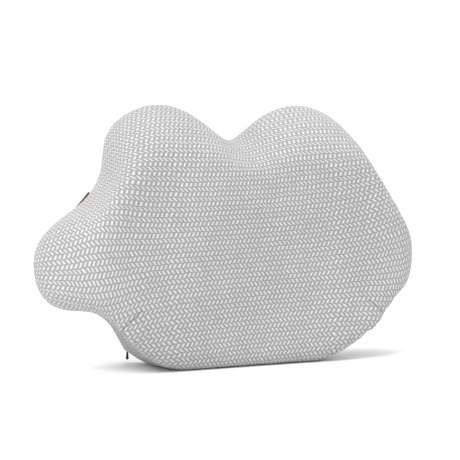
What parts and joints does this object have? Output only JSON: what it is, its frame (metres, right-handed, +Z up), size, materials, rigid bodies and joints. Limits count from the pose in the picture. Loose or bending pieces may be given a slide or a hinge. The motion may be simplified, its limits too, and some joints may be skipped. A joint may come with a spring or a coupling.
{
  "type": "lumbar support cushion",
  "caption": "Contoured lumbar support cushion with upper lobes, side wings, a hollowed face and a flat back, in a zipped knit cover.",
  "frame": {"origin": "middle of the base, at the centre of the bounding box in plan", "axes": "+X to the viewer's right when facing the hollowed sitter's side, +Y towards the flat back, +Z up"},
  "size_m": [0.4802, 0.1237, 0.2986],
  "materials": {
    "foam": "open-cell polyurethane foam, matt",
    "liner": "thin tricot, matt",
    "knit": "light grey stretch jacquard knit, matt",
    "knit_back": "light grey stretch jacquard knit, matt",
    "seam": "turned seam with sewing thread, matt",
    "leather": "dark brown leather, satin",
    "tag_thread": "waxed thread",
    "zip_tape": "woven tape, matt",
    "zip_coil": "nylon, satin",
    "thread": "sewing thread",
    "slider_paint": "black enamel on zinc, satin",
    "label": "white satin strip, blank"
  },
  "bodies": {
    "cushion": {"foam_core": "foam", "inner_liner": "liner", "cover_front_panel": "knit", "cover_back_panel": "knit_back", "perimeter_seam": "seam", "dart_seam_right": "seam", "dart_seam_left": "seam", "leather_tag": "leather", "tag_stitches": "tag_thread", "zip_tape_upper": "zip_tape", "zip_tape_lower": "zip_tape", "zip_coil_upper": "zip_coil", "zip_coil_lower": "zip_coil", "zip_stop_left": "zip_coil", "zip_stop_right": "zip_coil", "zip_lip_stitches": "thread", "care_label": "label"},
    "slider": {"slider_body": "slider_paint", "slider_bail": "slider_paint"},
    "puller": {"puller": "slider_paint"}
  },
  "joints": [
    {"name": "zip_travel", "type": "slide", "parent": "cushion", "child": "slider", "axis": [1, 0, 0], "range_m": [0, 0.219]},
    {"name": "puller_swing", "type": "hinge", "parent": "slider", "child": "puller", "pos_m": [-0.1095, 0.0606, 0.02], "axis": [1, 0, 0], "range_deg": [0, 175]}
  ]
}
